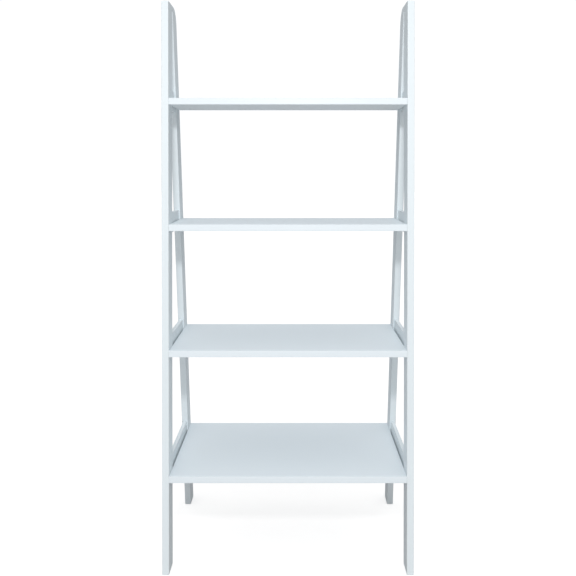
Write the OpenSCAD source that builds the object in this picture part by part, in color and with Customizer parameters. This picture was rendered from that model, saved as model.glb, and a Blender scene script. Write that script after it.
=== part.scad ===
// Four-shelf ladder bookcase: two A-shaped side frames with rounded heads, joined by
// four shelves that grow deeper towards the floor.
// X runs across the shelves, Y from front to back, Z up. The origin is on the floor,
// under the middle of the bookcase.

/* [Overall size] */
// Width over the outer faces of the two side frames
overall_w = 610; // [500:5:800]
// Height from the floor to the top of the heads
overall_h = 1380; // [1370:5:1500]
// Depth across the stiles' outer edges, taken at the very top
head_d = 115; // [112:1:125]
// Lean of every stile from upright, in degrees
lean = 6.5; // [4:0.5:9]

/* [Stiles] */
// Thickness of a stile, side to side
stile_t = 17; // [16:0.5:22]
// Width of a stile, front to back
stile_w = 54; // [44:1:55]

/* [Head] */
// Height of the head block above its joint with the stiles
head_h = 95; // [85:1:105]
// Radius of its small top corner at the front
head_front_r = 6; // [3:1:12]
// Radius of its wide top corner at the rear
head_rear_r = 42; // [30:1:52]
// Wood left above the slot between the stiles
head_band = 12; // [10:1:30]

/* [Shelves] */
// Height of the bottom shelf's top face
bottom_shelf_z = 238; // [200:2:250]
// Rise from one shelf to the next
shelf_pitch = 303; // [280:1:306]
// Thickness of a shelf
shelf_t = 16; // [16:0.5:19]

/* [Side rails] */
// Thickness of a side rail
rail_t = 10; // [9:0.5:12]
// Height of a side rail
rail_h = 50; // [44:1:60]
// Height of a rail's top edge above its shelf's top face
rail_rise = 25; // [16:1:28]

/* [Fixings] */
// Diameter of a connector bolt's shank
bolt_d = 6; // [5:1:6]
// Length of a bolt under its head
bolt_l = 50; // [46:1:56]
// Diameter of a bolt's flat head
bolt_head_d = 14; // [12:1:15]
// Diameter of a barrel nut
nut_d = 10; // [9:1:10]
// Diameter of the dowels in the shelf ends and the head joints
dowel_d = 8; // [6:1:8]
// Diameter of the dowels in the rail ends
rail_dowel_d = 6; // [5:1:6]

/* [Hidden] */
$fn = 48;

shelf_count = 4;
sides = [-1, 1];
side_names = ["left", "right"];

// Named parts, with shelf 1 and rail 1 at the top

// Depth over the feet, which the lean opens up from the head
base_d = head_d + 2 * overall_h * tan(lean);
// Front-to-back width of a leaning stile in a level cut
stile_y = stile_w / cos(lean);
// Level of the joint between the stiles and the head
joint_z = overall_h - head_h;
// Outer and inner faces of a side frame, as distances from the middle plane
outer_x = overall_w / 2;
inner_x = outer_x - stile_t;
frame_mid_x = (outer_x + inner_x) / 2;

// Clearance round a bolt, and round a nut or a dowel, on the radius
bolt_play = 0.3;
snug_play = 0.05;
// Spare depth beyond the end of a dowel
hole_spare = 0.5;
// Cutters run past a face by this much
past = 1;

// Flat head of a bolt, sunk just under the stile's outer face
bolt_head_t = 2.5;
bolt_sink = 0.5;
head_play = 0.5;
// Hexagon socket in a bolt's head, across its corners
socket_d = 4.6;
socket_depth = 2;
bolt_seat_x = outer_x - bolt_sink - bolt_head_t;
bolt_tip_x = bolt_seat_x - bolt_l;
// Barrel nut: distance of its axis from the shelf's end, and its length
nut_inset = 30;
nut_l = 12;
nut_x = inner_x - nut_inset;

// Dowel at a shelf's corner: reach into the stile and the shelf, and
// distance of its axis from the stile's outer edge
dowel_in_stile = 10;
dowel_in_shelf = 20;
shelf_dowel_inset = 12;
// Rail dowel: reach to each side of the joint, and distance of its axis
// from the rail's top or bottom edge
rail_dowel_reach = 15;
rail_dowel_inset = 11;
// Head dowel: reach to each side of the joint, and half the pair's spacing
head_dowel_reach = 25;
head_dowel_half = 11;

paint = "#f2f5fa";
board = "#e9edf5";
beech = "#cfa26b";
steel = "#a9adb3";

// Y of the frame's front edge at a level; the rear edge is its mirror image
function front_y(z) = -base_d / 2 + z * tan(lean);
// Y of the inside edge of a front stile at a level
function gap_y(z) = front_y(z) + stile_y;
// Top face of a shelf, counted from the top shelf down
function shelf_z(i) = bottom_shelf_z + (shelf_count - i) * shelf_pitch;
// Level of the bolts and dowels in a shelf's ends
function fixing_z(i) = shelf_z(i) - shelf_t / 2;
// Bolt axis on the middle of the stile
function bolt_y(i) = front_y(fixing_z(i)) + stile_y / 2;
function shelf_dowel_y(i) = front_y(fixing_z(i)) + shelf_dowel_inset;
// Levels of the two dowels in each end of a rail
function rail_dowel_zs(i) =
    let (top = shelf_z(i) + rail_rise)
    [top - rail_dowel_inset, top - rail_h + rail_dowel_inset];

// Extrudes a side-view outline, drawn with Y across and Z up, along X
module side_board(x0, thickness) {
    translate([x0, 0, 0]) rotate([90, 0, 90]) linear_extrude(thickness) children();
}

// Cylinders along X, between two distances from the middle plane
module rod_x(x0, x1, d, fn = $fn) {
    translate([x0, 0, 0]) rotate([0, 90, 0]) cylinder(d = d, h = x1 - x0, $fn = fn);
}

// Repeats a shape at the front and at the rear, mirrored
module front_and_rear() {
    children();
    mirror([0, 1, 0]) children();
}

// Repeats a shape at both sides, mirrored
module both_sides() {
    children();
    mirror([1, 0, 0]) children();
}

// Outline of one stile, from its level foot to the head joint
module stile_outline() {
    polygon([
        [front_y(0), 0],
        [gap_y(0), 0],
        [gap_y(joint_z), joint_z],
        [front_y(joint_z), joint_z]
    ]);
}

// Bolt hole, counterbore and blind dowel hole in a stile at one shelf
module stile_shelf_holes(i) {
    translate([0, bolt_y(i), fixing_z(i)]) {
        rod_x(inner_x - past, outer_x + past, bolt_d + 2 * bolt_play);
        rod_x(bolt_seat_x, outer_x + past, bolt_head_d + 2 * head_play);
    }
    translate([0, shelf_dowel_y(i), fixing_z(i)])
        rod_x(inner_x - past, inner_x + dowel_in_stile + hole_spare, dowel_d + 2 * snug_play);
}

// The two holes for a rail's dowels, each reaching this far past the joint
module rail_dowel_set(i, reach, d) {
    for (z = rail_dowel_zs(i))
        translate([frame_mid_x, gap_y(z), z]) rotate([90, 0, 0]) cylinder(d = d, h = 2 * reach, center = true);
}

// The pair of dowels between a stile's top and the head
module head_dowel_set(reach, d) {
    for (dy = [-head_dowel_half, head_dowel_half])
        translate([frame_mid_x, front_y(joint_z) + stile_y / 2 + dy, joint_z])
            cylinder(d = d, h = 2 * reach, center = true);
}

// A front stile on the right-hand side
module plain_stile() {
    difference() {
        side_board(inner_x, stile_t) stile_outline();
        for (i = [1:shelf_count]) {
            stile_shelf_holes(i);
            rail_dowel_set(i, rail_dowel_reach + hole_spare, rail_dowel_d + 2 * snug_play);
        }
        head_dowel_set(head_dowel_reach + hole_spare, dowel_d + 2 * snug_play);
    }
}

// side is -1 for left and 1 for right; in a side frame all is drawn on the right
module on_side(side) {
    if (side > 0) children();
    else mirror([1, 0, 0]) children();
}

module front_stile(side) {
    color(paint) on_side(side) plain_stile();
}

module rear_stile(side) {
    color(paint) on_side(side) mirror([0, 1, 0]) plain_stile();
}

// Centre of a rounded top corner at the front, tangent to the leaning edge and the level
// top, as Y and Z; the rear corner mirrors it with its own radius
function corner(r) = [front_y(overall_h - r) + r / cos(lean), overall_h - r];
// Point where the leaning edge runs into that corner
function corner_start(r) = corner(r) + r * [-cos(lean), sin(lean)];
// Slot end: a circle tangent to both inside edges, its top a band below the head's top.
// Its radius solves r = cos(lean) * gap_half(z) at z = overall_h - head_band - r.
slot_top = overall_h - head_band;
slot_r = -gap_y(slot_top) * cos(lean) / (1 - sin(lean));
slot_z = slot_top - slot_r;

// Outline of the head: leaning flanks, a level top, a small corner at the front and a wide
// round one at the rear, cut off level at the joint with the stiles
module head_outline() {
    front = corner(head_front_r);
    front_start = corner_start(head_front_r);
    rear = corner(head_rear_r);
    rear_start = corner_start(head_rear_r);
    intersection() {
        union() {
            polygon([
                [front_y(joint_z), joint_z],
                [-front_y(joint_z), joint_z],
                [-rear_start[0], rear_start[1]],
                [-rear[0], overall_h],
                [front[0], overall_h],
                front_start
            ]);
            translate(front) circle(head_front_r);
            translate([-rear[0], rear[1]]) circle(head_rear_r);
        }
        translate([-base_d / 2, joint_z]) square([base_d, head_h]);
    }
}

// Tapering slot that rises into the head and ends in a half round
module slot_outline() {
    side_y = slot_r * cos(lean);
    tangent_z = slot_z + slot_r * sin(lean);
    polygon([
        [gap_y(joint_z - past), joint_z - past],
        [-gap_y(joint_z - past), joint_z - past],
        [side_y, tangent_z],
        [-side_y, tangent_z]
    ]);
    translate([0, slot_z]) circle(slot_r);
}

module head(side) {
    color(paint) on_side(side) difference() {
        side_board(inner_x, stile_t) head_outline();
        side_board(inner_x - past, stile_t + 2 * past) slot_outline();
        front_and_rear() head_dowel_set(head_dowel_reach + hole_spare, dowel_d + 2 * snug_play);
    }
}

// Rail between the stiles, its ends cut to their lean, thinner than they are
module rail(side, i) {
    top = shelf_z(i) + rail_rise;
    low = top - rail_h;
    color(paint) on_side(side) difference() {
        side_board(frame_mid_x - rail_t / 2, rail_t) polygon([
            [gap_y(low), low],
            [-gap_y(low), low],
            [-gap_y(top), top],
            [gap_y(top), top]
        ]);
        front_and_rear() rail_dowel_set(i, rail_dowel_reach + hole_spare, rail_dowel_d + 2 * snug_play);
    }
}

// Shelf board, its front and rear edges cut to the lean so that they end flush
module shelf(i) {
    top = shelf_z(i);
    low = top - shelf_t;
    color(board) difference() {
        side_board(-inner_x, 2 * inner_x) polygon([
            [front_y(low), low],
            [-front_y(low), low],
            [-front_y(top), top],
            [front_y(top), top]
        ]);
        both_sides() front_and_rear() {
            translate([0, bolt_y(i), fixing_z(i)])
                rod_x(bolt_tip_x - 2 * past, inner_x + past, bolt_d + 2 * bolt_play);
            translate([nut_x, bolt_y(i), low - past])
                cylinder(d = nut_d + 2 * snug_play, h = shelf_t / 2 + nut_l / 2 + past);
            translate([0, shelf_dowel_y(i), fixing_z(i)])
                rod_x(inner_x - dowel_in_shelf - hole_spare, inner_x + past, dowel_d + 2 * snug_play);
        }
    }
}

module head_dowels(side) {
    color(beech) on_side(side) front_and_rear() head_dowel_set(head_dowel_reach, dowel_d);
}

module rail_dowels(side) {
    color(beech) on_side(side)
        for (i = [1:shelf_count]) front_and_rear() rail_dowel_set(i, rail_dowel_reach, rail_dowel_d);
}

// One connector bolt along X, with a hexagon socket in its flat head
module connector_bolt() {
    difference() {
        union() {
            rod_x(bolt_tip_x, bolt_seat_x + past, bolt_d);
            rod_x(bolt_seat_x, bolt_seat_x + bolt_head_t, bolt_head_d);
        }
        rod_x(bolt_seat_x + bolt_head_t - socket_depth, outer_x, socket_d, 6);
    }
}

module shelf_bolts(i) {
    color(steel) both_sides() front_and_rear()
        translate([0, bolt_y(i), fixing_z(i)]) connector_bolt();
}

// Steel barrels in the shelf's underside, cross-bored for the bolts
module barrel_nuts(i) {
    color(steel) both_sides() front_and_rear()
        translate([0, bolt_y(i), fixing_z(i)]) difference() {
            translate([nut_x, 0, 0]) cylinder(d = nut_d, h = nut_l, center = true);
            rod_x(nut_x - nut_d, nut_x + nut_d, bolt_d + 2 * snug_play);
        }
}

module shelf_dowels(i) {
    color(beech) both_sides() front_and_rear()
        translate([0, shelf_dowel_y(i), fixing_z(i)])
            rod_x(inner_x - dowel_in_shelf, inner_x + dowel_in_stile, dowel_d);
}

for (k = [0, 1]) {
    front_stile(sides[k]);
    rear_stile(sides[k]);
    head(sides[k]);
    head_dowels(sides[k]);
    rail_dowels(sides[k]);
    for (i = [1:shelf_count])
        rail(sides[k], i);
}
for (i = [1:shelf_count]) {
    shelf(i);
    shelf_bolts(i);
    barrel_nuts(i);
    shelf_dowels(i);
}
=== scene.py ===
# %% [markdown]
# # A ladder bookcase in white paint
#
# The bookcase has two A-shaped side frames and four open shelves between them. Each side
# frame is a front stile and a rear stile that lean together into a rounded head, with a
# thin rail beside every shelf. Bolts and dowels hold it, and most of them are out of sight.
#
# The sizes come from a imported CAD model, which is loaded first and never changed. It has
# sharp edges and flat colours. This lesson makes each board again with eased edges and
# drilled holes, turns the hardware, mixes the paint, and then lights it all.

from math import atan, cos, pi, radians, sin, tau

import bmesh
import bpy
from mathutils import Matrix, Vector


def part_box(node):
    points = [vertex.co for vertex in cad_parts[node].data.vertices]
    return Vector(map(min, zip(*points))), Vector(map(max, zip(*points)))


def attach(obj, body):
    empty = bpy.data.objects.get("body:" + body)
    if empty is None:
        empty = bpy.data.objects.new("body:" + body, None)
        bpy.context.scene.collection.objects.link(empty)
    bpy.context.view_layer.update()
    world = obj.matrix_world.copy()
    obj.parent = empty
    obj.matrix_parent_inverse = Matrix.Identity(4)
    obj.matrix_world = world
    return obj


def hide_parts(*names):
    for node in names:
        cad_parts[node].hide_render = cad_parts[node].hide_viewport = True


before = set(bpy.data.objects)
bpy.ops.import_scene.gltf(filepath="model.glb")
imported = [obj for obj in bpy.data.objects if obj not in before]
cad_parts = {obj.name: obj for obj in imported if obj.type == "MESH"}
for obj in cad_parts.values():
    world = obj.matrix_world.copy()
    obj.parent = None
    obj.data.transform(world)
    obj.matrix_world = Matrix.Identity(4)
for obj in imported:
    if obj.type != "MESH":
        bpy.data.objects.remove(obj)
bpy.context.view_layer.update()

# %% [markdown]
# ## Measures
#
# Everything is in metres, with X across the shelves, Y from front to back and Z up. A few
# boxes from the frame give the lean of the stiles and where they end, so no size has to be
# typed twice. A joiner does the same: one full-size drawing, and every part marked from it.

# %% Read the measures
SIDES = {"left": -1, "right": 1}
SHELVES = (1, 2, 3, 4)

stile_low, stile_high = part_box("right_front_stile")
head_low, head_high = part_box("right_head")

joint_z = stile_high.z
top_z = head_high.z
half_depth = -stile_low.y
slope = (head_low.y - stile_low.y) / joint_z
lean = atan(slope)
stile_depth = stile_high.y - head_low.y


def front_edge(z):
    """Y of a front stile's outer edge at a level. The rear one is its mirror image."""
    return -half_depth + z * slope


def inside_edge(z):
    """Y of a front stile's inside edge at a level."""
    return front_edge(z) + stile_depth


print(f"lean {lean * 180 / pi:.2f} degrees, stile {stile_depth * cos(lean) * 1000:.1f} mm wide")

# %% [markdown]
# ## The camera
#
# The camera stands in front, a finger's width right of the middle and a little over two
# thirds of the way up. It looks slightly down, so that the film lies about parallel to the
# leaning front of the bookcase and the uprights stay parallel in the picture. A small
# vertical shift then slides the picture on the film to take in the whole bookcase, as the
# rising front of a view camera does.

# %% Place the camera
camera_distance = 1.645
camera_side = 0.014
camera_height = 0.976
camera_pitch = radians(7.0)
lens_mm = 45.2
film_mm = 36.0
film_rise = -0.0518
film_slide = -0.010

camera = bpy.data.objects.new("camera", bpy.data.cameras.new("camera"))
bpy.context.scene.collection.objects.link(camera)
bpy.context.scene.camera = camera
camera.location = (camera_side, -half_depth - camera_distance, camera_height)
camera.rotation_euler = (pi / 2 - camera_pitch, 0, 0)
camera.data.sensor_width = film_mm
camera.data.lens = lens_mm
camera.data.shift_x = film_slide
camera.data.shift_y = film_rise
print("camera at", [round(v, 3) for v in camera.location])

# %% [markdown]
# ## Turned shapes
#
# Bolts, barrel nuts, dowels and the drill bits that cut their holes are all turned shapes: a
# profile spun round an axis. Blender has a Screw modifier for that. A short function is
# used here, because it can also press flutes into a dowel, and because one mesh can then
# hold many turned solids.

# %% A lathe
def lathe(bm, start, direction, profile, steps=40, flutes=0, flute_depth=0.0):
    """Adds one turned solid. The profile is a list of (distance along the axis, radius)."""
    turn = Vector((0, 0, 1)).rotation_difference(Vector(direction))
    rings = []
    for place, (along, radius) in enumerate(profile):
        fluted = flutes and 0 < place < len(profile) - 1
        ring = []
        for k in range(steps):
            angle = tau * k / steps
            dip = flute_depth * (0.5 - 0.5 * cos(flutes * angle)) if fluted else 0.0
            spoke = Vector(((radius - dip) * cos(angle), (radius - dip) * sin(angle), along))
            ring.append(bm.verts.new(Vector(start) + turn @ spoke))
        rings.append(ring)
    for low, high in zip(rings, rings[1:]):
        for k in range(steps):
            n = (k + 1) % steps
            bm.faces.new((low[k], low[n], high[n], high[k]))
    bm.faces.new(rings[0][::-1])
    bm.faces.new(rings[-1])


def chamfered_pin(length, radius, chamfer):
    """Profile of a straight pin whose two ends are chamfered."""
    return [
        (0, radius - chamfer), (chamfer, radius),
        (length - chamfer, radius), (length, radius - chamfer),
    ]


def solids_in(node):
    """The box of every separate solid in a CAD node, as pairs of corners.

    The vertices wait in a dictionary, which keeps their order. A set would hand them out in
    a different order each time, and the finished meshes would list their faces differently.
    """
    bm = bmesh.new()
    bm.from_mesh(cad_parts[node].data)
    bmesh.ops.remove_doubles(bm, verts=bm.verts, dist=1e-6)
    unseen = dict.fromkeys(bm.verts)
    boxes = []
    while unseen:
        reached = [next(iter(unseen))]
        del unseen[reached[0]]
        corners = []
        while reached:
            vert = reached.pop()
            corners.append(vert.co.copy())
            for edge in vert.link_edges:
                other = edge.other_vert(vert)
                if other in unseen:
                    del unseen[other]
                    reached.append(other)
        low = Vector([min(c[a] for c in corners) for a in range(3)])
        high = Vector([max(c[a] for c in corners) for a in range(3)])
        boxes.append((low, high))
    bm.free()
    return boxes


print("a shelf has", len(solids_in("shelf_bolts_1")), "bolts")

# %% [markdown]
# ## Boards
#
# Each wooden part is a board: an outline seen from the side, with a thickness along X. A
# sawn board has sharp edges, but nobody leaves them sharp. Paint won't hold on them, and
# they catch no light. So the long edges are rounded over with a bevel of a millimetre or
# two, while the faces that are glued in a joint stay square.
#
# Rounded edges need care with shading. All faces are shaded smooth, edges sharper than the
# round-over are marked sharp, and a Weighted Normal modifier keeps the wide faces flat.

# %% Saw a board and ease its edges
SHARP = radians(25)
CREASE = radians(40)


def new_piece(name, bm):
    """Turns a bmesh into a linked object and frees it."""
    bmesh.ops.remove_doubles(bm, verts=bm.verts, dist=1e-7)
    bmesh.ops.recalc_face_normals(bm, faces=bm.faces)
    mesh = bpy.data.meshes.new(name)
    bm.to_mesh(mesh)
    bm.free()
    piece = bpy.data.objects.new(name, mesh)
    bpy.context.scene.collection.objects.link(piece)
    return piece


def sawn_board(name, outline, x0, x1, ease, square=()):
    """A board with this side outline of (y, z) points between two X planes.

    square lists the outline's segments that are joint faces, whose edges aren't eased.
    """
    bm = bmesh.new()
    near = [bm.verts.new((x0, y, z)) for y, z in outline]
    far = [bm.verts.new((x1, y, z)) for y, z in outline]
    bm.faces.new(near[::-1])
    bm.faces.new(far)
    sides = []
    for k in range(len(outline)):
        n = (k + 1) % len(outline)
        sides.append(bm.faces.new((near[k], near[n], far[n], far[k])))
    bmesh.ops.recalc_face_normals(bm, faces=bm.faces)
    joint_faces = {sides[k] for k in square}
    eased = [
        e for e in bm.edges
        if e.calc_face_angle() > SHARP and not joint_faces & set(e.link_faces)
    ]
    bmesh.ops.bevel(bm, geom=eased, offset=ease, segments=4, profile=0.5, affect="EDGES")
    return new_piece(name, bm)


def arc(centre, radius, start, end, steps):
    """Points along an arc in the side view, angles in radians from +Y towards +Z."""
    return [
        (centre[0] + radius * cos(start + (end - start) * k / steps),
         centre[1] + radius * sin(start + (end - start) * k / steps))
        for k in range(steps + 1)
    ]


print("boards have edges eased in 4 steps")

# %% [markdown]
# ## Drilling
#
# A hole is a turned solid taken away with a Boolean modifier, one cutter mesh for all the
# holes of a board. The drill positions come from the hardware itself: the frame has every
# bolt, nut and dowel in place, so each one tells its board where its hole goes. The cutters
# are a hair wider than the hardware, and those that show flare at the mouth, as a
# countersunk hole does, so that the rim catches a thin line of light.

# %% Drill bits from the hardware
BOLT_SHANK = 0.0030
SHANK_PLAY = 0.0003
HEAD_PLAY = 0.0005
SNUG = 0.00005
END_ROOM = 0.0005
PAST = 0.001
RIM = 0.0005
BOLT_HEAD = 0.0025

side_outer = stile_high.x


def bolt_bit(bm, low, high):
    """Clearance hole for a shank with a counterbore for the head."""
    side = 1 if high.x > 0 else -1
    tip = min(abs(low.x), abs(high.x)) - 2 * PAST
    seat = max(abs(low.x), abs(high.x)) - BOLT_HEAD
    shank = BOLT_SHANK + SHANK_PLAY
    bore = (high.z - low.z) / 2 + HEAD_PLAY
    centre = (low + high) / 2
    profile = [
        (0, shank), (seat - tip, shank), (seat - tip, bore),
        (side_outer - tip - RIM, bore), (side_outer - tip + PAST, bore + RIM + PAST),
    ]
    lathe(bm, (side * tip, centre.y, centre.z), (side, 0, 0), profile, steps=48)


def nut_bit(bm, low, high):
    """Hole from the shelf's underside up to the top of a barrel nut."""
    centre = (low + high) / 2
    radius = (high.y - low.y) / 2 + SNUG
    shelf = min((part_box(f"shelf_{i}") for i in SHELVES), key=lambda b: abs(b[0].z - low.z))
    mouth = shelf[0].z
    profile = [
        (0, radius + RIM + PAST), (PAST + RIM, radius), (high.z - mouth + PAST, radius),
    ]
    lathe(bm, (centre.x, centre.y, mouth - PAST), (0, 0, 1), profile, steps=48)


def dowel_line(low, high):
    """Direction, length and radius of a dowel, which lies along its box's longest side."""
    size = high - low
    axis = max(range(3), key=lambda a: size[a])
    direction = Vector([1.0 if a == axis else 0.0 for a in range(3)])
    return direction, size[axis], size[(axis + 1) % 3] / 2


def dowel_bit(bm, low, high):
    """Plain hole round a dowel, a little longer than the dowel."""
    direction, dowel_length, dowel_radius = dowel_line(low, high)
    length = dowel_length + 2 * END_ROOM
    radius = dowel_radius + SNUG
    start = (low + high) / 2 - direction * length / 2
    lathe(bm, start, direction, [(0, radius), (length, radius)], steps=32)


bits = []
for i in SHELVES:
    bits += [(bolt_bit, *box) for box in solids_in(f"shelf_bolts_{i}")]
    bits += [(nut_bit, *box) for box in solids_in(f"barrel_nuts_{i}")]
    bits += [(dowel_bit, *box) for box in solids_in(f"shelf_dowels_{i}")]
for side in SIDES:
    bits += [(dowel_bit, *box) for box in solids_in(f"{side}_head_dowels")]
    bits += [(dowel_bit, *box) for box in solids_in(f"{side}_rail_dowels")]
print(len(bits), "holes to drill")

# %% Drill a board
def taken_away(piece, cutter):
    """Subtracts one object from another and throws the cutter away."""
    cut = piece.modifiers.new("drill", "BOOLEAN")
    cut.operation = "DIFFERENCE"
    cut.solver = "EXACT"
    cut.object = cutter
    evaluated = piece.evaluated_get(bpy.context.evaluated_depsgraph_get())
    mesh = bpy.data.meshes.new_from_object(evaluated)
    piece.modifiers.remove(cut)
    rough, piece.data = piece.data, mesh
    mesh.name = piece.name
    bpy.data.meshes.remove(rough)
    spent = cutter.data
    bpy.data.objects.remove(cutter)
    bpy.data.meshes.remove(spent)


def drill(piece):
    """Cuts the hole of every fastener that reaches into this board."""
    low = Vector([min(v.co[a] for v in piece.data.vertices) for a in range(3)])
    high = Vector([max(v.co[a] for v in piece.data.vertices) for a in range(3)])
    bm = bmesh.new()
    count = 0
    for bit, a, b in bits:
        if all(a[k] < high[k] and b[k] > low[k] for k in range(3)):
            bit(bm, a, b)
            count += 1
    taken_away(piece, new_piece("bits", bm))
    return count


def smooth(piece):
    """Shades round-overs and holes smooth while wide faces stay flat."""
    bm = bmesh.new()
    bm.from_mesh(piece.data)
    bmesh.ops.dissolve_degenerate(bm, dist=1e-6, edges=bm.edges)
    for face in bm.faces:
        face.smooth = True
    for edge in bm.edges:
        edge.smooth = edge.is_manifold and edge.calc_face_angle() < CREASE
    bm.to_mesh(piece.data)
    bm.free()
    weighted = piece.modifiers.new("flat faces stay flat", "WEIGHTED_NORMAL")
    weighted.keep_sharp = True


print("a drilled board keeps the box of its CAD part")

# %% [markdown]
# ## Stiles
#
# A stile is a straight board whose foot and top are cut level, so it leans. Its outline is
# the same for all four, turned round for the rear. The foot is eased like the long edges,
# and the top is left square because the head is glued to it, with a hairline left between
# them that the paint doesn't quite hide.

# %% Make the stiles
LONG_EASE = 0.0012
HAIRLINE = 0.00002

stile_outline = [
    (front_edge(0), 0),
    (inside_edge(0), 0),
    (inside_edge(joint_z), joint_z - HAIRLINE),
    (front_edge(joint_z), joint_z - HAIRLINE),
]
STILE_TOP = 2


def turned_round(outline):
    """The same outline with front and back exchanged."""
    return [(-y, z) for y, z in outline]


boards = {}
for side in SIDES:
    for end, outline in (("front", stile_outline), ("rear", turned_round(stile_outline))):
        node = f"{side}_{end}_stile"
        low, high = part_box(node)
        board = sawn_board(node + "_board", outline, low.x, high.x, LONG_EASE, {STILE_TOP})
        holes = drill(board)
        boards[node] = board
        print(node, "has", holes, "holes")

# %% [markdown]
# ## Heads
#
# The head closes the A. Its flanks carry on the lean of the stiles up to a level top, which
# has only a small corner at the front and a wide round one at the rear. The gap between the
# stiles rises into it, narrows to about a centimetre and ends in a half round. One closed
# outline goes up the outside and comes back down the slot. The corner arcs start where the
# flank is tangent to them, which is at the angle of the lean, so no kink shows where the
# straight turns into the round.

# %% Make the heads
HEAD_FRONT_CORNER = 0.006
HEAD_REAR_CORNER = 0.042
HEAD_BAND = 0.012


def top_corner(radius):
    """Centre of a round at the front, tangent to the leaning edge and the level top."""
    return front_edge(top_z - radius) + radius / cos(lean), top_z - radius


front_y, front_z = top_corner(HEAD_FRONT_CORNER)
rear_y, rear_z = top_corner(HEAD_REAR_CORNER)
slot_top = top_z - HEAD_BAND
slot_radius = -inside_edge(slot_top) * cos(lean) / (1 - sin(lean))
slot_z = slot_top - slot_radius
head_foot = joint_z + HAIRLINE

head_outline = [
    (-inside_edge(joint_z), head_foot),
    (-front_edge(joint_z), head_foot),
    *arc((-rear_y, rear_z), HEAD_REAR_CORNER, lean, pi / 2, 28),
    *arc((front_y, front_z), HEAD_FRONT_CORNER, pi / 2, pi - lean, 12),
    (front_edge(joint_z), head_foot),
    (inside_edge(joint_z), head_foot),
    *arc((0, slot_z), slot_radius, pi - lean, lean, 20),
]
REAR_FOOT = 0
FRONT_FOOT = head_outline.index((front_edge(joint_z), head_foot))

for side in SIDES:
    node = f"{side}_head"
    low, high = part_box(node)
    board = sawn_board(
        node + "_board", head_outline, low.x, high.x, LONG_EASE, {REAR_FOOT, FRONT_FOOT}
    )
    holes = drill(board)
    boards[node] = board
    print(node, "has", holes, "holes, slot radius", round(slot_radius * 1000, 1), "mm")

# %% [markdown]
# ## Side rails
#
# A rail is thinner than the stiles, so it stands back from both of their faces. That small
# step gives the side frames their shadow lines. Its ends are cut to the lean and glued
# square against the stiles.

# %% Make the rails
RAIL_EASE = 0.0012
RAIL_ENDS = {1, 3}

for side in SIDES:
    for i in SHELVES:
        node = f"{side}_rail_{i}"
        low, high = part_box(node)
        outline = [
            (inside_edge(low.z) + HAIRLINE, low.z),
            (-inside_edge(low.z) - HAIRLINE, low.z),
            (-inside_edge(high.z) - HAIRLINE, high.z),
            (inside_edge(high.z) + HAIRLINE, high.z),
        ]
        board = sawn_board(node + "_board", outline, low.x, high.x, RAIL_EASE, RAIL_ENDS)
        drill(board)
        boards[node] = board
print(len(SIDES) * len(SHELVES), "rails")

# %% [markdown]
# ## Shelves
#
# The shelves are plain boards too, each deeper than the one above, with the front and rear
# edges planed to the lean so that they end flush with the stiles. All their edges are eased
# a little less than the frame's, which leaves a crisp bright line along the front.

# %% Make the shelves
SHELF_EASE = 0.0010

for i in SHELVES:
    node = f"shelf_{i}"
    low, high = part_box(node)
    outline = [
        (front_edge(low.z), low.z),
        (-front_edge(low.z), low.z),
        (-front_edge(high.z), high.z),
        (front_edge(high.z), high.z),
    ]
    board = sawn_board(node + "_board", outline, low.x + HAIRLINE, high.x - HAIRLINE, SHELF_EASE)
    holes = drill(board)
    boards[node] = board
    print(node, "is", round((high.y - low.y) * 1000), "mm deep with", holes, "holes")

# %% [markdown]
# ## Bolts
#
# A connector bolt has a wide flat head with a hexagon socket, and a plain shank that ends in
# thread. The heads lie in counterbores on the outside of the stiles, so they are the only
# hardware that shows from the side. The rim of the head is rounded and its socket is
# chamfered, since these two lines are what the eye finds on so small a part. The thread is
# turned as rings, a crest and a root at each pitch, because a true helix would look the
# same inside the wood.

# %% Turn the bolts
THREAD_PITCH = 0.001
THREAD_DEPTH = 0.0004
THREAD_LENGTH = 0.022
SOCKET = 0.0023
SOCKET_DEPTH = 0.0020
HEAD_ROUND = 0.0006

bolt_count = 0
for i in SHELVES:
    bm = bmesh.new()
    sockets = bmesh.new()
    for low, high in solids_in(f"shelf_bolts_{i}"):
        side = 1 if high.x > 0 else -1
        tip = min(abs(low.x), abs(high.x))
        crown = max(abs(low.x), abs(high.x)) - tip
        seat = crown - BOLT_HEAD
        head = (high.z - low.z) / 2
        centre = (low + high) / 2
        profile = [(0, BOLT_SHANK - THREAD_DEPTH)]
        turns = round(THREAD_LENGTH / THREAD_PITCH)
        for turn in range(turns):
            profile.append(((turn + 0.5) * THREAD_PITCH, BOLT_SHANK))
            profile.append(((turn + 1) * THREAD_PITCH, BOLT_SHANK - THREAD_DEPTH))
        profile += [(THREAD_LENGTH + THREAD_DEPTH, BOLT_SHANK), (seat, BOLT_SHANK)]
        profile += [(seat, head - HEAD_ROUND / 2), (seat + HEAD_ROUND / 2, head)]
        for angle in (0, pi / 6, pi / 3, pi / 2):
            profile.append((
                crown - HEAD_ROUND + HEAD_ROUND * sin(angle),
                head - HEAD_ROUND + HEAD_ROUND * cos(angle),
            ))
        start = (side * tip, centre.y, centre.z)
        lathe(bm, start, (side, 0, 0), profile, steps=36)
        flare = HEAD_ROUND / 2
        key = [
            (crown - SOCKET_DEPTH, SOCKET), (crown - flare, SOCKET),
            (crown + flare, SOCKET + 2 * flare),
        ]
        lathe(sockets, start, (side, 0, 0), key, steps=6)
        bolt_count += 1
    bolts = new_piece(f"shelf_bolts_{i}_turned", bm)
    taken_away(bolts, new_piece("keys", sockets))
    boards[f"shelf_bolts_{i}"] = bolts
print(bolt_count, "bolts")

# %% [markdown]
# ## Barrel nuts
#
# Each bolt pulls on a steel barrel that lies across it, pushed into a hole in the shelf's
# underside. The end that shows from below has a slot, which a screwdriver turns until the
# barrel's thread faces the bolt.

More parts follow.
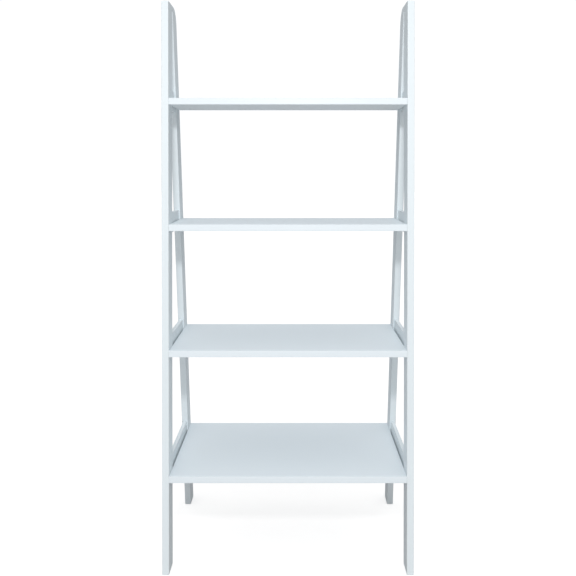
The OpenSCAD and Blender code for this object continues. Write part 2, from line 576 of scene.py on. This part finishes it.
# %% Turn the barrel nuts
NUT_CHAMFER = 0.0004
SLOT_WIDTH = 0.0012
SLOT_DEPTH = 0.0012

for i in SHELVES:
    bm = bmesh.new()
    cuts = bmesh.new()
    for low, high in solids_in(f"barrel_nuts_{i}"):
        centre = (low + high) / 2
        radius = (high.y - low.y) / 2
        profile = chamfered_pin(high.z - low.z, radius, NUT_CHAMFER)
        lathe(bm, (centre.x, centre.y, low.z), (0, 0, 1), profile, steps=40)
        bore = [(0, BOLT_SHANK + SNUG), (4 * radius, BOLT_SHANK + SNUG)]
        lathe(cuts, (centre.x - 2 * radius, centre.y, centre.z), (1, 0, 0), bore, steps=32)
        bmesh.ops.create_cube(cuts)
        for vert in cuts.verts[-8:]:
            vert.co = Vector((
                centre.x + vert.co.x * 3 * radius,
                centre.y + vert.co.y * SLOT_WIDTH,
                low.z + vert.co.z * 2 * SLOT_DEPTH,
            ))
    nuts = new_piece(f"barrel_nuts_{i}_turned", bm)
    taken_away(nuts, new_piece("nut_cuts", cuts))
    boards[f"barrel_nuts_{i}"] = nuts
print("barrel nuts slotted")

# %% [markdown]
# ## Dowels
#
# Beech dowels are fluted so that glue and air can get out of the hole, and their ends are
# chamfered so that they start easily. The lathe presses the flutes into every ring except
# the two at the ends.

# %% Turn the dowels
FLUTES = 16
FLUTE_DEPTH = 0.0004
DOWEL_CHAMFER = 0.0010


def fluted_dowels(node):
    """All the dowels of a CAD node as one piece."""
    bm = bmesh.new()
    for low, high in solids_in(node):
        direction, length, radius = dowel_line(low, high)
        start = (low + high) / 2 - direction * length / 2
        profile = chamfered_pin(length, radius, DOWEL_CHAMFER)
        lathe(bm, start, direction, profile, FLUTES * 4, FLUTES, FLUTE_DEPTH)
    boards[node] = new_piece(node + "_turned", bm)


for i in SHELVES:
    fluted_dowels(f"shelf_dowels_{i}")
for side in SIDES:
    fluted_dowels(f"{side}_head_dowels")
    fluted_dowels(f"{side}_rail_dowels")
print("dowels fluted")

# %% [markdown]
# ## Shader maths that reads like maths
#
# A shader is a graph of nodes, and building it call by call hides what it computes. The
# small class below wraps one output of a node. Adding or multiplying two of them adds a
# Math node, so a mask can be written as `1 - edge * noise`. Everything else, such as a
# noise or a colour mix, comes from one method that takes the node's type, its settings and
# what goes into its sockets.

# %% Wires and recipes
class Wire:
    """One output of a shader node, with arithmetic."""

    def __init__(self, socket):
        self.socket = socket

    def maths(self, operation, *values):
        tree = self.socket.id_data
        node = tree.nodes.new("ShaderNodeMath")
        node.operation = operation
        for slot, value in zip(node.inputs, values):
            plug(slot, value)
        return Wire(node.outputs[0])

    def __add__(self, other):
        return self.maths("ADD", self, other)

    def __sub__(self, other):
        return self.maths("SUBTRACT", self, other)

    def __rsub__(self, other):
        return self.maths("SUBTRACT", other, self)

    def __mul__(self, other):
        return self.maths("MULTIPLY", self, other)

    __radd__ = __add__
    __rmul__ = __mul__


def plug(slot, value):
    """Links a wire to a socket, or sets the socket to a plain value."""
    if isinstance(value, Wire):
        slot.id_data.links.new(value.socket, slot)
    else:
        slot.default_value = value


class Recipe:
    """The node graph of one material, world or floor."""

    def __init__(self, owner):
        owner.use_nodes = True
        self.owner = owner
        self.tree = owner.node_tree

    def node(self, kind, settings=None, sockets=None, out=0):
        """Adds a node: settings are set first, then sockets are filled by name or number."""
        node = self.tree.nodes.new(kind)
        for name, value in (settings or {}).items():
            if name == "stops":
                ramp = node.color_ramp.elements
                while len(ramp) < len(value):
                    ramp.new(1.0)
                for stop, (place, shade) in zip(ramp, value):
                    stop.position = place
                    stop.color = (shade, shade, shade, 1)
            else:
                setattr(node, name, value)
        for name, value in (sockets or {}).items():
            plug(node.inputs[name], value)
        return Wire(node.outputs[out])

    def noise(self, where, scale, detail=2.0, roughness=0.5):
        """Smooth noise from 0 to 1, its features about 1 / scale metres across."""
        sockets = {"Vector": where, "Scale": scale, "Detail": detail, "Roughness": roughness}
        return self.node("ShaderNodeTexNoise", None, sockets)

    def steps(self, value, *stops):
        """A ramp from value to grey, by (place, shade) stops."""
        return self.node("ShaderNodeValToRGB", {"stops": stops}, {"Fac": value})

    def mixed(self, factor, a, b):
        """A colour part of the way from a to b."""
        return self.node(
            "ShaderNodeMix", {"data_type": "RGBA"}, {0: factor, 6: a, 7: b}, out=2
        )

    def bump(self, height, metres):
        """A normal for a surface whose height runs from 0 to 1 times this many metres."""
        sockets = {"Height": height, "Distance": metres, "Strength": 1.0}
        return self.node("ShaderNodeBump", None, sockets)

    def surface(self, **sockets):
        """Fills the Principled shader's sockets: base_color means Base Color."""
        shader = self.tree.nodes["Principled BSDF"]
        for name, value in sockets.items():
            plug(shader.inputs[name.replace("_", " ").title().replace("Ior", "IOR")], value)
        return self.owner


print("recipes ready")

# %% [markdown]
# ## White paint on wood
#
# The frame is solid wood under sprayed satin paint. Close up, the paint has a fine pebble
# from the spray, and the grain below still telegraphs through as long shallow ridges. From
# further off, only the faint change of tone and gloss shows, and it is what keeps the white
# from looking like plastic. Along the arrises the film is thinner, so they are a touch
# warmer and a touch shinier.
#
# The grain has to follow the board. A mapping turned by the lean and stretched along one
# axis turns round noise into fibres. Each board adds its own random offset, so that two
# boards never share a pattern. The arris mask isn't painted by hand: each face stores
# whether it belongs to a round-over, and the shader reads that.

# %% Mark the eased faces
LEAST_TILT = 0.05
MOST_TILT = 0.99
UPRIGHT = 0.02


def mark_arrises(piece):
    """Stores 1 on the narrow faces of a round-over and 0 on flat faces and in holes."""
    mask = piece.data.attributes.new("arris", "FLOAT", "FACE")
    for face, value in zip(piece.data.polygons, mask.data):
        tilt = abs(face.normal.x)
        edge_on = min(abs(face.normal.y), abs(face.normal.z))
        between_edges = tilt < UPRIGHT and edge_on > 2 * sin(lean)
        value.value = 1.0 if LEAST_TILT < tilt < MOST_TILT or between_edges else 0.0


print("a face leaning by", LEAST_TILT, "to", MOST_TILT, "is part of a round-over")


# %% Mix the frame's paint
WHITE = (0.800, 0.864, 0.892, 1)
WHITE_THIN = (0.805, 0.850, 0.862, 1)
WHITE_DEEP = (0.776, 0.844, 0.876, 1)


def own_place(recipe):
    """Object coordinates moved by a random step that differs from board to board."""
    place = recipe.node("ShaderNodeTexCoord", out="Object")
    chance = recipe.node("ShaderNodeObjectInfo", out="Random")
    step = recipe.node("ShaderNodeCombineXYZ", None, {"X": chance * 7, "Y": chance * 3, "Z": chance * 5})
    moved = {"operation": "ADD"}
    return recipe.node("ShaderNodeVectorMath", moved, {0: place, 1: step})


def painted_wood(name, tilt, stretch):
    """Satin white over solid wood, its grain stretched along the smallest scale."""
    recipe = Recipe(bpy.data.materials.new(name))
    place = own_place(recipe)
    turned = recipe.node("ShaderNodeMapping", None, {"Vector": place, "Rotation": (tilt, 0, 0)})
    along = recipe.node("ShaderNodeMapping", None, {"Vector": turned, "Scale": stretch})
    fibre = recipe.noise(along, 1.0, 5.0, 0.62)
    bands = recipe.noise(along, 0.22, 2.0, 0.5)
    pebble = recipe.noise(place, 750.0, 2.0, 0.45)
    cloud = recipe.noise(place, 9.0, 3.0, 0.55)
    arris = recipe.node("ShaderNodeAttribute", {"attribute_name": "arris"}, None, out="Fac")
    worn = arris * recipe.steps(recipe.noise(place, 60.0, 4.0, 0.6), (0.35, 0.25), (0.65, 1.0))
    tone = recipe.mixed(
        recipe.steps(fibre * 0.55 + bands * 0.45, (0.36, 0.0), (0.68, 1.0)) * 0.55 + cloud * 0.3,
        WHITE, WHITE_DEEP,
    )
    colour = recipe.mixed(worn * 0.55, tone, WHITE_THIN)
    gloss = 0.36 + cloud * 0.10 + fibre * 0.06 - worn * 0.05
    relief = fibre * 0.65 + pebble * 0.35
    return recipe.surface(
        base_color=colour, roughness=gloss, normal=recipe.bump(relief, 0.00010), ior=1.48,
    )


ACROSS, ALONG = 420.0, 14.0
frame_paint = {
    "front_stile": painted_wood("white_paint_front_stiles", lean, (ACROSS, ACROSS, ALONG)),
    "rear_stile": painted_wood("white_paint_rear_stiles", -lean, (ACROSS, ACROSS, ALONG)),
    "head": painted_wood("white_paint_heads", 0.0, (ACROSS, ACROSS, ALONG)),
    "rail": painted_wood("white_paint_rails", 0.0, (ACROSS, ALONG, ACROSS)),
}
print("frame paints", sorted(frame_paint))

# %% [markdown]
# ## White paint on board
#
# The shelves are flat board with a smoother coat. There is no grain to show through, only
# the pebble of the spray gun and slow waves in the gloss where the coat is thicker. The long
# sanding marks left under the paint run the length of the shelf and are barely there.

# %% Mix the shelf paint
SHELF_WHITE = (0.800, 0.864, 0.900, 1)
SHELF_SHADE = (0.775, 0.842, 0.884, 1)


def painted_board(name):
    """Satin white over smooth board."""
    recipe = Recipe(bpy.data.materials.new(name))
    place = own_place(recipe)
    along = recipe.node("ShaderNodeMapping", None, {"Vector": place, "Scale": (6.0, 260.0, 260.0)})
    sanding = recipe.noise(along, 1.0, 3.0, 0.6)
    pebble = recipe.noise(place, 620.0, 2.0, 0.5)
    wave = recipe.noise(place, 5.0, 2.0, 0.5)
    arris = recipe.node("ShaderNodeAttribute", {"attribute_name": "arris"}, None, out="Fac")
    worn = arris * recipe.steps(recipe.noise(place, 45.0, 4.0, 0.6), (0.35, 0.2), (0.7, 1.0))
    tone = recipe.mixed(wave * 0.6 + sanding * 0.3, SHELF_WHITE, SHELF_SHADE)
    colour = recipe.mixed(worn * 0.5, tone, WHITE_THIN)
    gloss = 0.38 + wave * 0.12 + sanding * 0.05 - worn * 0.05
    relief = pebble * 0.6 + sanding * 0.4
    return recipe.surface(
        base_color=colour, roughness=gloss, normal=recipe.bump(relief, 0.00005), ior=1.48,
    )


shelf_paint = painted_board("white_paint_shelves")
print("shelf paint", shelf_paint.name)

# %% [markdown]
# ## Beech and zinc
#
# Raw beech is pale and pinkish, with short dark flecks along the grain. Bright zinc plate is
# a grey metal with a faint mottle, and the lathe leaves fine rings in it, which show as a
# slightly rougher band here and there.

# %% Mix the hardware's finishes
def raw_beech(name):
    """Unfinished beech with its short flecks."""
    recipe = Recipe(bpy.data.materials.new(name))
    place = own_place(recipe)
    along = recipe.node("ShaderNodeMapping", None, {"Vector": place, "Scale": (900.0, 900.0, 900.0)})
    fleck = recipe.steps(recipe.noise(along, 1.0, 4.0, 0.7), (0.50, 0.0), (0.62, 1.0))
    cloud = recipe.noise(place, 120.0, 3.0, 0.5)
    pale = recipe.mixed(cloud, (0.62, 0.42, 0.25, 1), (0.52, 0.33, 0.18, 1))
    colour = recipe.mixed(fleck * 0.5, pale, (0.30, 0.17, 0.09, 1))
    return recipe.surface(
        base_color=colour, roughness=0.55 + cloud * 0.2, normal=recipe.bump(fleck, 0.00004),
    )


def bright_zinc(name):
    """Zinc-plated steel, mottled and lightly handled."""
    recipe = Recipe(bpy.data.materials.new(name))
    place = own_place(recipe)
    mottle = recipe.noise(place, 900.0, 4.0, 0.6)
    smear = recipe.noise(place, 180.0, 3.0, 0.55)
    colour = recipe.mixed(mottle, (0.66, 0.67, 0.69, 1), (0.52, 0.53, 0.56, 1))
    gloss = 0.24 + smear * 0.18 + mottle * 0.06
    return recipe.surface(
        base_color=colour, roughness=gloss, metallic=1.0, normal=recipe.bump(mottle, 0.00001),
    )


beech = raw_beech("raw_beech")
zinc = bright_zinc("bright_zinc")
print("finishes", beech.name, zinc.name)

# %% [markdown]
# ## Put the pieces on the frame
#
# Each finished piece stands for the CAD part of the same name and takes that part's place on
# the body it belongs to. The record's slot name for its finish only decides whether its arrises are
# marked.

# %% Finish every piece
def finish_of(node):
    """The material and the record's slot for a node."""
    if node.startswith("shelf_bolts") or node.startswith("barrel_nuts"):
        return zinc, "zinc_steel"
    if "dowels" in node:
        return beech, "beech_dowel"
    if node.startswith("shelf"):
        return shelf_paint, "painted_shelf"
    kind = next(k for k in frame_paint if k in node)
    return frame_paint[kind], "painted_frame"


for node, piece in boards.items():
    material, slot_name = finish_of(node)
    piece.data.materials.clear()
    piece.data.materials.append(material)
    smooth(piece)
    if slot_name.startswith("painted"):
        mark_arrises(piece)
    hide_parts(node)
    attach(piece, "root")
print(len(boards), "pieces on the frame")

# %% [markdown]
# ## Floor and light
#
# A studio shot of white furniture on white is mostly about keeping the background bright
# without washing out the paint. The floor is a wide pale sheet. The room round it is
# brightest at the ceiling, less bright at the wall in front, and dim at the other walls, so
# that the shelves look lighter than the insides of the side frames, and the rear stiles get
# some light where a shelf shades them. One small soft box hangs in front, a little above
# head height. Because it is small for its distance, the shadows of the shelves end in a
# fairly crisp line on the rear stiles.
#
# The background looks brighter to the camera than it shines on the bookcase. In a studio
# this is done by lighting the backdrop on its own. Here the room and the floor each have a
# second brightness that only the camera sees.

# %% Lay the floor
FLOOR_HALF = 30.0
FLOOR_PAINT = (0.56, 0.55, 0.54, 1)
FLOOR_LIFT = 0.63

floor_mesh = bmesh.new()
bmesh.ops.create_grid(floor_mesh, x_segments=4, y_segments=4, size=FLOOR_HALF)
floor = new_piece("floor", floor_mesh)

sheet = Recipe(bpy.data.materials.new("pale_floor"))
seen = sheet.node("ShaderNodeLightPath", out="Is Camera Ray")
grain = sheet.noise(sheet.node("ShaderNodeTexCoord", out="Object"), 40.0, 3.0)
sheet.surface(
    base_color=FLOOR_PAINT, roughness=0.6 + grain * 0.1,
    emission_color=sheet.mixed(seen, (0, 0, 0, 1), (1, 1, 1, 1)), emission_strength=FLOOR_LIFT,
)
floor.data.materials.append(sheet.owner)
print("floor", 2 * FLOOR_HALF, "m across")

# %% Light the room
CEILING = (0.995, 1.005, 1.025, 1)
WALLS = (0.215, 0.220, 0.225, 1)
FRONT_WALL = (0.660, 0.665, 0.670, 1)
BACKDROP = (1.02, 1.03, 1.04, 1)
BOX_WIDTH, BOX_HEIGHT = 0.36, 0.24
BOX_PLACE = Vector((0, -2.42, 2.05))
BOX_AIM = Vector((0, 0, 0.75))
BOX_WATTS = 28.0

room = Recipe(bpy.data.worlds.new("room"))
bpy.context.scene.world = room.owner
seen = room.node("ShaderNodeLightPath", out="Is Camera Ray")
direction = room.node("ShaderNodeTexCoord", out="Generated")
upward = room.node("ShaderNodeSeparateXYZ", None, {"Vector": direction}, out="Z")
backward = room.node("ShaderNodeSeparateXYZ", None, {"Vector": direction}, out="Y")
round_about = room.mixed(room.steps(0 - backward, (0.3, 0.0), (0.9, 1.0)), WALLS, FRONT_WALL)
fill = room.mixed(room.steps(upward, (0.1, 0.0), (0.9, 1.0)), round_about, CEILING)
backdrop = room.tree.nodes["Background"]
plug(backdrop.inputs["Color"], room.mixed(seen, fill, BACKDROP))
plug(backdrop.inputs["Strength"], 1.0)

soft_box = bpy.data.objects.new("soft_box", bpy.data.lights.new("soft_box", "AREA"))
bpy.context.scene.collection.objects.link(soft_box)
soft_box.data.shape = "RECTANGLE"
soft_box.data.size = BOX_WIDTH
soft_box.data.size_y = BOX_HEIGHT
soft_box.data.energy = BOX_WATTS
soft_box.location = BOX_PLACE
soft_box.rotation_euler = (BOX_AIM - BOX_PLACE).to_track_quat("-Z", "Y").to_euler()

bpy.context.scene.view_settings.view_transform = "Standard"
print("soft box", BOX_WATTS, "W")
